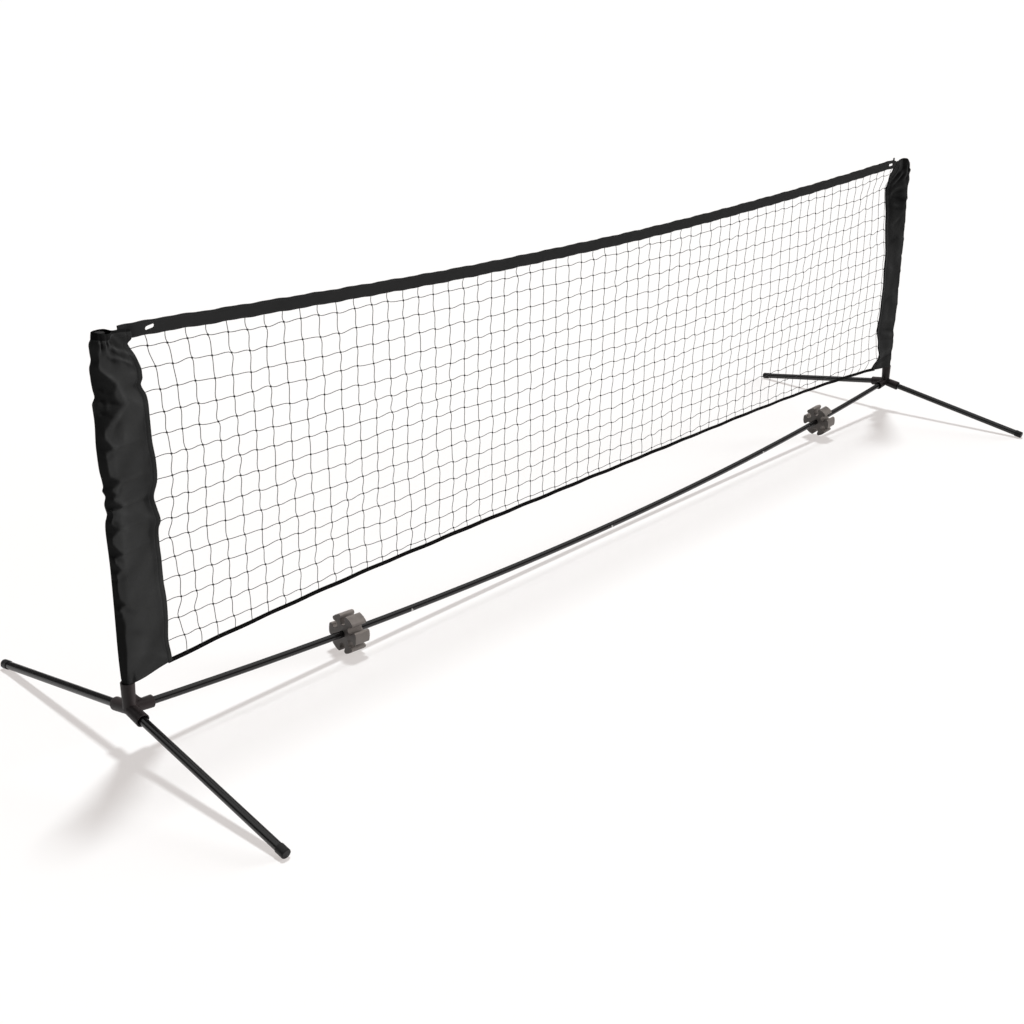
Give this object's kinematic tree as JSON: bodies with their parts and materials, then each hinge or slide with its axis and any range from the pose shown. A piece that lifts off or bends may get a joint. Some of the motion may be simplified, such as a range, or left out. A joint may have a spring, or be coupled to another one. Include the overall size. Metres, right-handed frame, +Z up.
{
  "type": "portable pickleball net",
  "caption": "Portable net on a bowed tube base with sloping legs, leaning posts in fabric sleeves, a webbing-topped mesh net and slotted storage clips.",
  "frame": {"origin": "on the floor under the middle of the bar, at the centre of the footprint", "axes": "+X along the net to the right-hand hub, +Y to the back of the net, +Z up"},
  "size_m": [3.093, 1.008, 0.8683],
  "materials": {
    "tube_paint": "semi-gloss black powder coat",
    "hub_plastic": "satin dark grey-brown moulded plastic",
    "end_plastic": "satin black moulded plastic",
    "bright_steel": "nickel-plated spring steel",
    "clip_plastic": "matt grey-brown moulding",
    "twine": "dark grey knotted twine",
    "webbing": "charcoal woven webbing",
    "sleeve_cloth": "black coated woven polyester",
    "elastic": "black woven elastic"
  },
  "bodies": {
    "frame": {"hub_left": "hub_plastic", "hub_right": "hub_plastic", "bar_tube_1": "tube_paint", "bar_tube_2": "tube_paint", "bar_tube_3": "tube_paint", "bar_tube_4": "tube_paint", "snap_spring_1": "bright_steel", "snap_spring_2": "bright_steel", "snap_spring_3": "bright_steel"},
    "leg_front_left": {"leg_front_left": "tube_paint", "cap_front_left": "end_plastic"},
    "leg_back_left": {"leg_back_left": "tube_paint", "cap_back_left": "end_plastic"},
    "leg_front_right": {"leg_front_right": "tube_paint", "cap_front_right": "end_plastic"},
    "leg_back_right": {"leg_back_right": "tube_paint", "cap_back_right": "end_plastic"},
    "post_left": {"post_left": "tube_paint", "post_plug_left": "end_plastic"},
    "post_right": {"post_right": "tube_paint", "post_plug_right": "end_plastic"},
    "button_1": {"snap_button_1": "bright_steel"},
    "button_2": {"snap_button_2": "bright_steel"},
    "button_3": {"snap_button_3": "bright_steel"},
    "clip_left": {"storage_clip_left": "clip_plastic"},
    "clip_right": {"storage_clip_right": "clip_plastic"},
    "net": {"net_mesh": "twine", "top_band": "webbing", "bottom_tape": "webbing", "band_loop": "webbing", "sleeve_left": "sleeve_cloth", "sleeve_right": "sleeve_cloth", "sleeve_elastic_left": "elastic", "sleeve_elastic_right": "elastic"}
  },
  "joints": [
    {"name": "leg_front_left_pull", "type": "slide", "parent": "frame", "child": "leg_front_left", "axis": [-0.0241, -0.9856, -0.1673], "range_m": [0, 0.035]},
    {"name": "leg_back_left_pull", "type": "slide", "parent": "frame", "child": "leg_back_left", "axis": [-0.0241, 0.9856, -0.1673], "range_m": [0, 0.035]},
    {"name": "leg_front_right_pull", "type": "slide", "parent": "frame", "child": "leg_front_right", "axis": [0.0241, -0.9856, -0.1673], "range_m": [0, 0.035]},
    {"name": "leg_back_right_pull", "type": "slide", "parent": "frame", "child": "leg_back_right", "axis": [0.0241, 0.9856, -0.1673], "range_m": [0, 0.035]},
    {"name": "post_left_pull", "type": "slide", "parent": "frame", "child": "post_left", "axis": [0.0419, 0, 0.9991], "range_m": [0, 0.044]},
    {"name": "post_right_pull", "type": "slide", "parent": "frame", "child": "post_right", "axis": [-0.0419, 0, 0.9991], "range_m": [0, 0.044]},
    {"name": "button_1_press", "type": "slide", "parent": "frame", "child": "button_1", "axis": [0, 1, 0], "range_m": [0, 0.0037], "stiffness_N_per_m": 1200, "springref_m": -0.001, "deforming": ["snap_spring_1"]},
    {"name": "button_2_press", "type": "slide", "parent": "frame", "child": "button_2", "axis": [0, 1, 0], "range_m": [0, 0.0037], "stiffness_N_per_m": 1200, "springref_m": -0.001, "deforming": ["snap_spring_2"]},
    {"name": "button_3_press", "type": "slide", "parent": "frame", "child": "button_3", "axis": [0, 1, 0], "range_m": [0, 0.0037], "stiffness_N_per_m": 1200, "springref_m": -0.001, "deforming": ["snap_spring_3"]},
    {"name": "clip_left_turn", "type": "hinge", "parent": "frame", "child": "clip_left", "pos_m": [-0.9575, 0, 0.04929], "axis": [0.9981, 0, -0.0622], "continuous": true},
    {"name": "clip_right_turn", "type": "hinge", "parent": "frame", "child": "clip_right", "pos_m": [1.084, 0, 0.0577], "axis": [0.9975, 0, 0.0704], "continuous": true},
    {"name": "net_lift", "type": "slide", "parent": "frame", "child": "net", "axis": [0, 0, 1], "range_m": [0, 0.7]}
  ]
}
